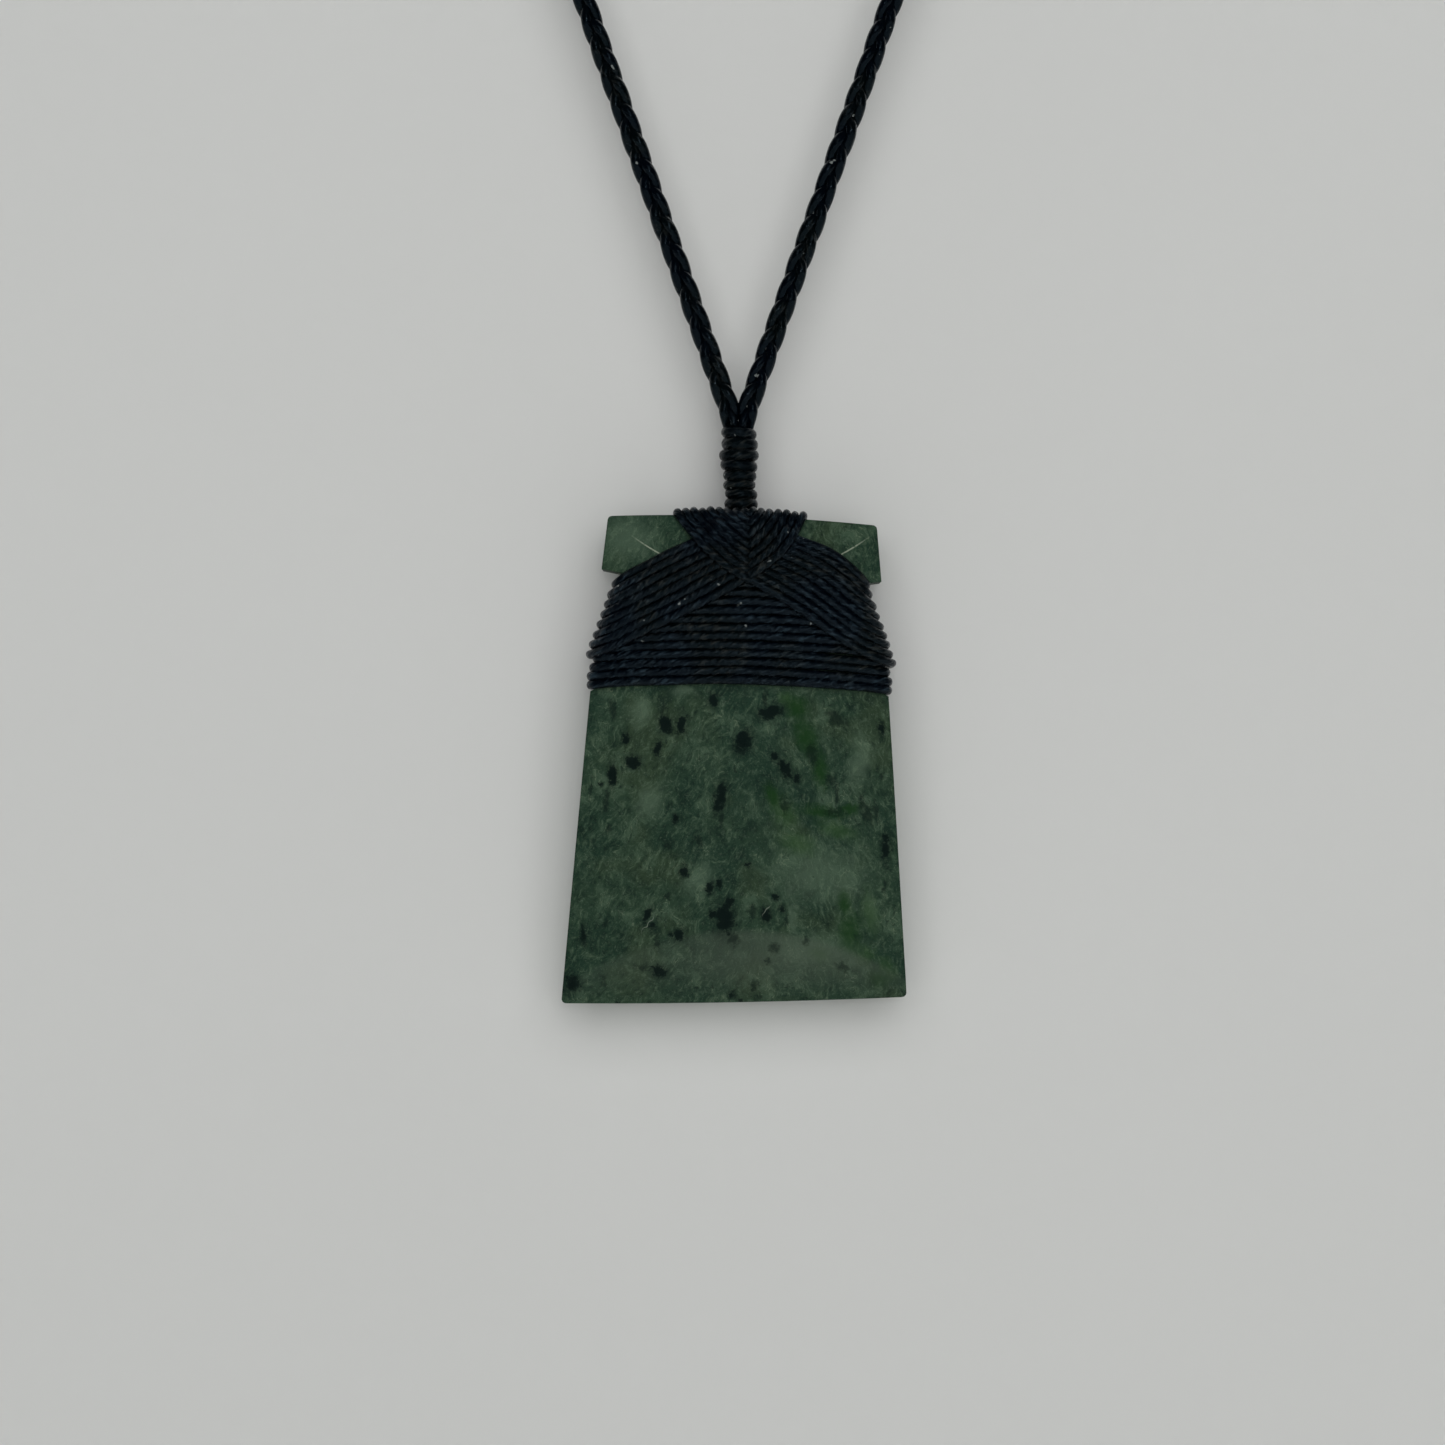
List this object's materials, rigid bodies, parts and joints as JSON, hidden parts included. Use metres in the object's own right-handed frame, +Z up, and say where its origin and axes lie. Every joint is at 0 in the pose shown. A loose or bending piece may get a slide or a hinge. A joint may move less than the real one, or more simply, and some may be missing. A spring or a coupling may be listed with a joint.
{
  "type": "greenstone adze pendant necklace",
  "caption": "Adze-shaped greenstone pendant with a ground head and cutting edge, bound with waxed thread to a plaited neck cord that hangs as a closed loop.",
  "frame": {"origin": "where the loop hangs: the underside of the clasp at the nape, on the pendant's middle plane", "axes": "+Z up, +X to the right seen from the front, the pendant's front faces -Y"},
  "size_m": [0.091, 0.0121, 0.2649],
  "materials": {
    "greenstone": "polished nephrite with dark specks and green streaks",
    "waxed_thread": "waxed black thread",
    "plaited_cord": "plait of three strands of waxed black thread",
    "clasp": "satin black"
  },
  "bodies": {
    "root": {"adze_blade": "greenstone", "waist_wrap": "waxed_thread", "cross_lashing": "waxed_thread", "neck_whipping": "waxed_thread", "neck_cord_left": "plaited_cord", "neck_cord_right": "plaited_cord", "nape_clasp": "clasp"}
  },
  "joints": []
}
